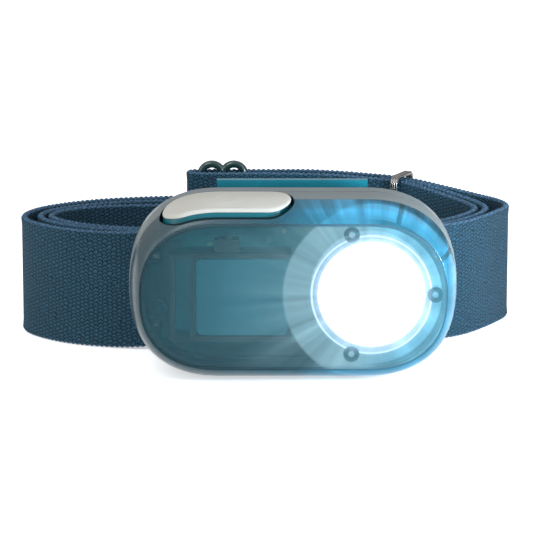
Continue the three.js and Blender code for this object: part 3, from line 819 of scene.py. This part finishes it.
def stadium(margin):
    """The button's plan shape as (x, y), grown by margin."""
    half = max(BUTTON_HALF_DEPTH + margin, 0.0)
    run = BUTTON_HALF_LENGTH - BUTTON_HALF_DEPTH
    points = []
    for side in (1, -1):
        for i in range(BUTTON_END_STEPS + 1):
            angle = (i / BUTTON_END_STEPS - 0.5) * math.pi
            points.append((side * (run + half * math.cos(angle)), side * half * math.sin(angle)))
        for i in range(1, BUTTON_RUN_STEPS):
            points.append((side * run * (1 - 2 * i / BUTTON_RUN_STEPS), side * half))
    return [(BUTTON_X + x, BUTTON_Y + y) for x, y in points]


def scoop():
    """Cutter for the button's opening and the recess round it, which reaches further in front."""
    opening = stadium(BUTTON_GAP)
    rings = [[(x, y, SCOOP_LOW) for x, y in opening]]
    for margin, depth in SCOOP_LEVELS:
        ring = []
        for (x, y), (far_x, far_y) in zip(opening, stadium(margin)):
            ahead = min(max(BUTTON_Y - y, 0) / BUTTON_HALF_DEPTH, 1)
            share = SCOOP_SIDE + (SCOOP_REACH - SCOOP_SIDE) * ahead
            x += (far_x - x) * share
            y += (far_y - y) * share
            ring.append((x, y, lamp_top(x, y, -depth)))
        rings.append(ring)
    rings.append([(x, y, SCOOP_HIGH) for x, y, _ in rings[-1]])
    tool = loft("scoop", rings)
    # The tool's faces carry the painted recess shade into the cover's cut.
    tool.data.materials.append(RECESS_SHADE)
    return tool


def front_cover():
    """The shell with its lens hole and button recess cut, and four screw posts behind the face."""
    outer = face_side(0, 30, COVER_END_Y, groove=True)
    inner = face_side(WALL, 20, COVER_END_Y)
    cover = loft("front_cover_shell", outer + inner[::-1])
    cover.data.materials.append(TINTED)
    cover.data.materials.append(GROOVE_SHADE)
    # The groove's middle rings take the painted groove shade.
    for face in cover.data.polygons:
        ring = face.vertices[0] // OUTLINE_POINTS
        if len(face.vertices) == 4 and ring in GROOVE_SHADE_RINGS:
            face.material_index = 1
    hole = sleeve("hole", NEAR_AXIS, LENS_HOLE, *LENS_CUT_Y, LENS_X, LENS_Z, 96)
    post = (POST_HOLE, POST_RADIUS, FACE_Y + WALL, POST_END_Y)
    posts = [sleeve("post", *post, x, z, 24) for x, z in POSTS]
    cover = carve(cover, [hole, scoop()])
    return join_meshes("front_cover_shell", [cover, *posts])


install(front_cover(), "lamp", "tinted_shell", None, "front_cover")

# ---- Button ----


def button_skin(name, levels):
    """A closed skin over the button's plan, with levels of (margin, grow) from its underside up."""
    rings = []
    for margin, grow in levels:
        ring = []
        for x, y in stadium(margin):
            ring.append((x, y, lamp_top(x, y, grow + thumb_mark(x, y, margin))))
        rings.append(ring)
    return loft(name, rings, sharp_degrees=50)


def thumb_mark(x, y, margin):
    """A faint round ridge in a shallow dish, on the pad's upper side only."""
    if margin > -0.5:
        return 0.0
    away = math.hypot(x - BUTTON_X, y - BUTTON_Y)
    height, radius, width = MARK_RIDGE
    depth, reach = MARK_DISH
    return height * math.exp(-((away - radius) / width) ** 2) - depth * math.exp(-((away / reach) ** 2))


def button_pad():
    """The rubber pad: flat below, rounded at the edge and slightly crowned on top."""
    centre = -BUTTON_HALF_DEPTH
    levels = [(margin, PAD_UNDERSIDE) for margin in (centre, -0.6, -0.08)]
    levels += [(0, -0.10), (0, PAD_EDGE)]
    for i in range(1, 7):
        angle = i / 6 * math.pi / 2
        levels.append((-PAD_ROUND_WIDTH * (1 - math.cos(angle)), PAD_EDGE + PAD_ROUND * math.sin(angle)))
    for share in np.linspace(0.14, 1, 16):
        levels.append((centre * share, PAD_EDGE + PAD_ROUND + PAD_CROWN * share))
    return button_skin("button_pad_skin", levels)


def button_base():
    """The teal base under the pad, with the stem that reaches down to the switch."""
    centre = -BUTTON_HALF_DEPTH
    levels = [(centre, BASE_UNDERSIDE), (-0.5, BASE_UNDERSIDE), (-0.15, -2.4)]
    levels += [(-0.08, -0.28), (-0.2, BASE_TOP), (centre, BASE_TOP)]
    skin = button_skin("base", levels)
    half_x, half_y = STEM_HALF_SIZE
    low = (BUTTON_X - half_x, BUTTON_Y - half_y, STEM_LOW)
    high = (BUTTON_X + half_x, BUTTON_Y + half_y, STEM_HIGH)
    return join_meshes("button_base_skin", [skin, block("stem", low, high, 0.3)])


install(button_pad(), "power_button", "pale_rubber", PALE, "button_pad")
install(button_base(), "power_button", "teal_plastic", EDGE_TEAL, "button_base")

# ---- Rear case ----


def case_side(inset, steps):
    """Rings from the split to the case's flat back."""
    rings = [outline(CASE_START_Y, inset)]
    for i in range(steps + 1):
        angle = (1 - i / steps) * math.pi / 2
        y = CASE_BACK_Y - inset - BACK_BEVEL * (1 - math.cos(angle))
        rings.append(outline(y, BACK_INSET * (1 - math.sin(angle)) + inset))
    rings.append(outline(CASE_BACK_Y - inset, BACK_INSET + inset + BACK_EDGE))
    return rings


def rear_case():
    """The shell with its screw bores and charging port cut, and two hinge lugs."""
    shell = loft("rear_case_shell", case_side(WALL, 14)[::-1] + case_side(0, 20))
    tools = [sleeve("bore", NEAR_AXIS, SCREW_BORE, *SCREW_BORE_Y, x, z, 40) for x, z in POSTS]
    tools.append(block("port", PORT_LOW, PORT_HIGH, 0.4))
    shell = carve(shell, tools)
    return join_meshes("rear_case_shell", [shell, *[lug(low) for low in LUG_STARTS]])


def round_hinge(radius, angle):
    """A point (y, z) at that distance and angle from the hinge's axis."""
    return HINGE_Y + radius * math.cos(angle), HINGE_Z + radius * math.sin(angle)


def lug(low):
    """A rounded hinge lug with its pin hole, reaching back from the case."""
    side = [round_hinge(LUG_RADIUS, math.pi / 2 - i / 48 * math.pi) for i in range(49)]
    side += [(LUG_ROOT_Y, HINGE_Z - LUG_RADIUS), (LUG_ROOT_Y, HINGE_Z + LUG_RADIUS)]
    plate = loft("lug", [[(x, y, z) for y, z in side] for x in (low, low + LUG_WIDTH)])
    bore = [round_hinge(LUG_HOLE, 2 * math.pi * i / 40) for i in range(40)]
    hole = loft("bore", [[(x, y, z) for y, z in bore] for x in (low - 1, low + LUG_WIDTH + 1)])
    return carve(plate, [hole])


install(rear_case(), "lamp", "smoked_case", SMOKED, "rear_case")

# ---- Optics ----


def lens_window():
    """The clear window: a shallow dome in front and a flange behind the face."""
    profile = []
    for i in range(13):
        share = i / 12
        height = LENS_DOME * math.cos(share * math.pi / 2)
        profile.append((max(LENS_RADIUS * share, NEAR_AXIS), FACE_Y - height))
    profile += [(LENS_RADIUS, LENS_FLANGE_Y), (LENS_FLANGE, LENS_FLANGE_Y)]
    profile += [(LENS_FLANGE, LENS_BACK_Y), (NEAR_AXIS, LENS_BACK_Y)]
    return turned("lens_window_dome", profile, LENS_X, LENS_Z, 128)


def lens_holder():
    """The ring behind the window, with three screw ears."""
    front, back, chamfer = HOLDER_FRONT_Y, HOLDER_BACK_Y, HOLDER_CHAMFER
    profile = [
        (HOLDER_INNER, front + chamfer), (HOLDER_INNER + chamfer, front), (HOLDER_OUTER - chamfer, front),
        (HOLDER_OUTER, front + chamfer), (HOLDER_OUTER, back), (HOLDER_INNER, back),
    ]
    parts = [turned("ring", profile, LENS_X, LENS_Z, 128)]
    for ear_x, ear_z in EAR_OFFSETS:
        parts.append(sleeve("ear", EAR_HOLE, EAR_RADIUS, front, back, LENS_X + ear_x, LENS_Z + ear_z, 32))
    return join_meshes("lens_holder_ring", parts)


install(lens_window(), "lamp", "lens_clear", LENS, "lens_window")
install(lens_holder(), "lamp", "teal_plastic", HOLDER, "lens_holder")

# ---- Headband ----

# The band's middle line as (x, y, rise): the sewn end, the middle ply, the outer ply that carries
# the lamp, the fold round the slider, the inner ply and the hemmed tail.
BAND_ROUTE = (
    (20.5, 55.9, 2), (25.3, 53.5, 2), (30.8, 49.1, 1.6), (36, 43.6, 0.8), (40.4, 37.6, 0.2), (42.3, 31.6, 0),
    (41.2, 26, 0), (38.3, 20.4, 0), (34.3, 15.3, 0), (28.6, 10.9, 0), (20, 7.6, 0), (10, 6.1, 0),
    (0, 5.6, 0), (-12, 5.5, 0), (-22, 5.2, 0), (-32, 5.6, 0), (-41, 8, 0), (-47.5, 11.8, 0),
    (-52, 16.7, 0), (-53.7, 22, 0), (-52.3, 27, 0), (-48, 31.8, 0), (-41.5, 35.7, 0), (-34, 38.2, 0),
    (-25, 39.4, 0), (-14, 39.3, 0), (-6, 38.7, 0), (-1.2, 39.1, 0), (0.6, 41.1, 0), (-1.2, 43.1, 0),
    (-6, 43.7, 0), (-14, 43.9, 0), (-25, 43.4, 0), (-34, 41.9, 0), (-42.5, 39.3, 0), (-49.5, 35, 0),
    (-54.6, 29.6, 0), (-57.05, 23.2, 0), (-56.2, 17, 0), (-51.6, 10.6, 0), (-44.5, 5.6, 0), (-34, 2.3, 0.2),
    (-24, 1.2, 1.2), (-14, 0.9, 2), (0, 0.9, 2), (13, 0.9, 2), (18.5, 2.1, 1.7), (25, 5.6, 0.8),
    (32, 10.6, 0.2), (36.9, 15.3, 0), (40.8, 20.6, 0), (44.1, 26.3, 0), (46.5, 31.4, 0), (46.9, 35.6, 0),
    (45, 40.8, 0), (41, 45.6, 0.2), (35, 50.4, 0.9), (26.2, 55.5, 2), (18, 59.3, 2.2), (11, 61.4, 2.4),
    (4, 62.2, 2.6), (-5, 62.3, 2.6), (-13, 62.3, 2.6), (-20.8, 62.3, 2.6), (-22.2, 61.75, 2.6),
    (-22.8, 60.4, 2.6), (-22.2, 59.05, 2.6), (-20.8, 58.5, 2.6), (-13, 58.5, 2.6), (-5, 58.5, 2.6),
    (3.5, 58.4, 2.5), (10, 57.6, 2.4), (16.5, 55.6, 2.2), (24.4, 51.6, 2), (29.4, 47.1, 1.5),
    (34.4, 41.7, 0.7), (38.3, 35.9, 0.2), (40, 30.9, 0), (39, 26.6, 0), (36.3, 21.6, 0),
    (32.5, 17, 0), (27.2, 13.1, 0), (19.2, 9.9, 0), (10, 8.3, 0), (0, 7.8, 0), (-12, 7.7, 0),
    (-22, 7.4, 0), (-31.5, 7.8, 0), (-39.8, 10, 0), (-45.8, 13.5, 0), (-49.9, 17.9, 0), (-51.4, 22.2, 0),
    (-50.2, 26.1, 0), (-46.5, 29.7, 0), (-40.5, 32.3, 0), (-31, 33.7, 0), (-20, 33.9, 0), (-9, 33.4, 0),
)


def smooth_route(points, per_span=24):
    """A centripetal Catmull-Rom curve through the points, as an array."""
    p = np.array(points, float)
    p = np.vstack([2 * p[0] - p[1], p, 2 * p[-1] - p[-2]])
    out = []
    for i in range(1, len(p) - 2):
        window = p[i - 1:i + 3]
        t0, t1, t2 = np.linalg.norm(np.diff(window, axis=0), axis=1) ** 0.5
        first, second, third = np.diff(window, axis=0)
        start = first / t0 - (first + second) / (t0 + t1) + second / t1
        end = second / t1 - (second + third) / (t1 + t2) + third / t2
        start, end = start * t1, end * t1
        for k in range(per_span):
            t = k / per_span
            out.append(
                window[1] * (2 * t ** 3 - 3 * t ** 2 + 1) + start * (t ** 3 - 2 * t ** 2 + t)
                + window[2] * (-2 * t ** 3 + 3 * t ** 2) + end * (t ** 3 - t ** 2)
            )
    out.append(p[-2])
    return np.array(out)


def spread_evenly(line, step):
    """The line resampled to equal steps, with the length so far at each point."""
    run = np.concatenate([[0], np.cumsum(np.linalg.norm(np.diff(line, axis=0), axis=1))])
    count = int(run[-1] / step)
    wanted = np.linspace(0, run[-1], count + 1)
    return np.stack([np.interp(wanted, run, line[:, i]) for i in range(3)], axis=1), wanted


def band_section():
    """The band's section as (across, out, edge share), with rolled, slightly thicker edges."""
    face = []
    for across in np.linspace(-BAND_FLAT_HALF, BAND_FLAT_HALF, 15):
        swell = EDGE_SWELL * max(0, (abs(across) - EDGE_START) / EDGE_RUN) ** 2
        face.append((across, BAND_HALF_THICKNESS + swell, 0.0))
    top = []
    for angle in np.linspace(EDGE_CORNER, math.pi - EDGE_CORNER, 7):
        across = BAND_WIDTH / 2 - EDGE_ROUND + EDGE_ROUND * math.sin(angle)
        top.append((across, EDGE_HALF_THICKNESS * math.cos(angle), 1.0))
    back = [(across, -out, edge) for across, out, edge in face[::-1]]
    bottom = [(-across, -out, edge) for across, out, edge in top]
    return face + top + back + bottom


def band_points(line, run, section):
    """The section swept along the line, with scalloped edges, one row of points for each step."""
    flat = np.gradient(line, axis=0)
    flat[:, 2] = 0
    flat /= np.linalg.norm(flat, axis=1)[:, None]
    out = np.stack([flat[:, 1], -flat[:, 0], np.zeros(len(flat))], axis=1)
    dip = 1 - np.abs(np.sin(math.pi * run / SCALLOP_PITCH))
    columns = []
    for across, proud, edge in section:
        height = across - math.copysign(1, across) * SCALLOP_DEPTH * edge * dip
        swell = 1 - SCALLOP_THINNING * edge * dip
        column = line + out * (proud * swell)[:, None]
        column[:, 2] = line[:, 2] + BAND_WIDTH / 2 + BAND_FOOT + height
        columns.append(column)
    return np.stack(columns, axis=1).reshape(-1, 3) * MM + np.array(ORIGIN)


def headband():
    """The elastic along its route. Its UV map holds millimetres along and across it."""
    line, run = spread_evenly(smooth_route(BAND_ROUTE), BAND_STEP)
    section = band_section()
    rings, count = len(line), len(section)
    i, j = np.meshgrid(np.arange(rings - 1), np.arange(count), indexing="ij")
    a = i * count + j
    b = i * count + (j + 1) % count
    faces = np.stack([a, b, b + count, a + count], axis=-1).reshape(-1, 4)
    caps = [tuple(range(count)), tuple(range((rings - 1) * count, rings * count))]
    mesh = bpy.data.meshes.new("headband_elastic")
    mesh.from_pydata(band_points(line, run, section).tolist(), [], faces.tolist() + caps)
    corners = np.zeros(len(mesh.loops), np.int64)
    mesh.loops.foreach_get("vertex_index", corners)
    across = np.array([across for across, _, _ in section])
    uvs = np.stack([run[corners // count], across[corners % count]], axis=1)
    mesh.uv_layers.new(name="weave").data.foreach_set("uv", uvs.astype(np.float32).ravel())
    return finish_mesh(scene_object("headband_elastic", mesh), 60)


install(headband(), "bracket_and_band", "webbing", WEBBING, "headband")

# ---- Slider ----


def slider():
    """Dark wire bent into two humps top and bottom, with a middle bar."""
    low, high = own(SLIDER_LOW), own(SLIDER_HIGH)
    middle_x, middle_y, middle_z = (low + high) / 2
    radius = (high.y - low.y) / 2
    hump = (high.x - low.x - 2 * radius) / 4
    straight = (high.z - low.z) / 2 - radius - hump
    loop = []
    for up, sides in ((1, (1, -1)), (-1, (-1, 1))):
        for side in sides:
            for i in range(HUMP_STEPS + 1):
                angle = math.pi * (HUMP_OPENING + (1 - 2 * HUMP_OPENING) * i / HUMP_STEPS)
                x = side * hump + up * hump * math.cos(angle)
                z = up * (straight + hump * math.sin(angle))
                loop.append((middle_x + x, middle_y, middle_z + z))
    frame_wire = tube("frame_wire", densify(loop, 0.5), radius, closed=True)
    bar_end = straight + BAR_OVERLAP
    bar_path = [(middle_x, middle_y, middle_z + z) for z in np.linspace(-bar_end, bar_end, 30)]
    bar = tube("bar", bar_path, radius * BAR_SHARE)
    return join_meshes("slider_wire", [frame_wire, bar])


def densify(points, step):
    """Extra points along the long runs of a closed loop."""
    out = []
    for a, b in zip(points, points[1:] + points[:1]):
        count = max(1, int(math.dist(a, b) / step))
        out += [tuple(Vector(a).lerp(Vector(b), k / count)) for k in range(count)]
    return out


install(slider(), "band_slider", "dark_wire", WIRE, "slider")

# ---- Keeper ring ----


def keeper_ring():
    """Three close turns of steel wire round the plies."""
    centre = own((KEEPER_LOW + KEEPER_HIGH) / 2)
    half_depth = KEEPER_HALF_DEPTH - KEEPER_WIRE
    half_height = (KEEPER_HIGH.z - KEEPER_LOW.z) / MM / 2 - KEEPER_WIRE - KEEPER_MARGIN
    loop = []
    for sign_y, sign_z, start in ((1, 1, 0), (-1, 1, 90), (-1, -1, 180), (1, -1, 270)):
        for i in range(9):
            angle = math.radians(start + 90 * i / 8)
            y = sign_y * (half_depth - KEEPER_CORNER) + KEEPER_CORNER * math.cos(angle)
            z = sign_z * (half_height - KEEPER_CORNER) + KEEPER_CORNER * math.sin(angle)
            loop.append((0.0, y, z))
    loop = densify(loop, 0.6)
    path = []
    total = len(loop) * KEEPER_TURNS
    for k in range(total):
        _, y, z = loop[k % len(loop)]
        shift = (k / (total - 1) - 0.5) * KEEPER_SPREAD
        x = shift * math.cos(KEEPER_ANGLE) - y * math.sin(KEEPER_ANGLE)
        depth = shift * math.sin(KEEPER_ANGLE) + y * math.cos(KEEPER_ANGLE)
        path.append((centre.x + x, centre.y + depth, centre.z + z))
    return tube("keeper_ring_wire", path, KEEPER_WIRE, sides=12)


install(keeper_ring(), "bracket_and_band", "steel", KEEPER_STEEL, "keeper_ring")

# ---- CAD nodes that stay, with rounded edges where they show ----


def dress(names, material, bevel=0.0):
    """A procedural material and, where asked, rounded edges on CAD nodes."""
    for name in names:
        obj = NODES[name]
        obj.data.materials.clear()
        obj.data.materials.append(material)
        if bevel:
            rounding = obj.modifiers.new("rounding", "BEVEL")
            rounding.width = bevel * MM
            rounding.segments = 3
            rounding.limit_method = "ANGLE"
            rounding.angle_limit = math.radians(40)
            rounding.harden_normals = False


dress(["bracket"], TEAL, 0.35)
dress(["battery_tray"], TRAY, 0.15)
dress(["tact_switch"], DARK, 0.15)
dress(["battery"], WRAP, 0.4)
dress(["port_plug"], BLACK, 0.2)
dress(["case_gasket"], BLACK)
dress(["circuit_board"], BOARD)
dress(["usb_socket"], STEEL, 0.1)
dress(["hinge_pin"], STEEL, 0.15)
dress([f"case_screw_{i}" for i in range(1, 5)], STEEL, 0.1)
dress([f"holder_screw_{i}" for i in range(1, 4)], STEEL, 0.1)
dress(["reflector"], MIRROR)
dress(["led_board", "heat_sink"], ALUMINIUM, 0.1)
dress(["led_emitter"], PHOSPHOR)
dress(["battery_lead_red"], LEAD_RED)
dress(["battery_lead_black"], LEAD_BLACK)

# ---- Stage, light and camera ----

FLOOR_HALF = 4.0
CAMERA_TILT = math.radians(12)
CAMERA_DISTANCE = 0.613
CAMERA_TARGET = Vector((-0.0002, -0.01673, 0.0181))
CAMERA_LENS = 199.4

# The sky's colours, as (height share, colour).
SKY = ((0.0, (0.20, 0.215, 0.225)), (0.75, (0.80, 0.815, 0.83)))


def stage():
    """The floor that the stored band stands on."""
    mesh = bpy.data.meshes.new("floor")
    corners = [(x * FLOOR_HALF, y * FLOOR_HALF, 0) for x, y in ((-1, -1), (1, -1), (1, 1), (-1, 1))]
    mesh.from_pydata(corners, [], [(0, 1, 2, 3)])
    floor = scene_object("floor", mesh)
    mesh.materials.append(stage_floor())


def area_light(name, location, target, size, watts, colour=(1, 1, 1)):
    """A soft round light, unseen by the camera."""
    data = bpy.data.lights.new(name, "AREA")
    data.shape = "DISK"
    data.size = size
    data.energy = watts
    data.color = colour
    lamp = scene_object(name, data)
    lamp.visible_camera = False
    lamp.location = location
    lamp.rotation_euler = (Vector(target) - Vector(location)).to_track_quat("-Z", "Y").to_euler()


def lights():
    """A pale studio sky, three soft lights, and the lamp's own light on the right-hand band."""
    world = bpy.data.worlds.new("studio")
    world.use_nodes = True
    tree = world.node_tree
    coordinates = tree.nodes.new("ShaderNodeTexCoord")
    split = tree.nodes.new("ShaderNodeSeparateXYZ")
    ramp = tree.nodes.new("ShaderNodeValToRGB")
    tree.links.new(coordinates.outputs["Generated"], split.inputs[0])
    tree.links.new(split.outputs["Z"], ramp.inputs["Fac"])
    for element, (position, colour) in zip(ramp.color_ramp.elements, SKY):
        element.position = position
        element.color = (*colour, 1)
    tree.links.new(ramp.outputs["Color"], tree.nodes["Background"].inputs["Color"])
    SCENE.world = world
    area_light("key", (-0.35, -0.55, 0.75), (0, 0, 0.02), 0.5, 3.0)
    area_light("glow", (0.095, -0.105, 0.035), (0.045, -0.005, 0.012), 0.03, 0.26, (0.72, 0.88, 1.0))
    area_light("side", (-0.7, -0.35, 0.30), (0, 0, 0.02), 0.5, 1.3, (0.92, 0.97, 1.0))
    area_light("fill", (0.6, -0.5, 0.35), (0, 0, 0.02), 0.6, 1.2, (0.85, 0.94, 1.0))


def camera():
    """The camera, in front of the lamp and a little above it."""
    data = bpy.data.cameras.new("camera")
    data.sensor_width = 36
    data.lens = CAMERA_LENS
    data.clip_start = 0.01
    view = scene_object("camera", data)
    away = Vector((0, -math.cos(CAMERA_TILT), math.sin(CAMERA_TILT)))
    view.location = CAMERA_TARGET + away * CAMERA_DISTANCE
    view.rotation_euler = (math.pi / 2 - CAMERA_TILT, 0, 0)
    SCENE.camera = view


stage()
lights()
camera()
SCENE.view_settings.view_transform = "Standard"
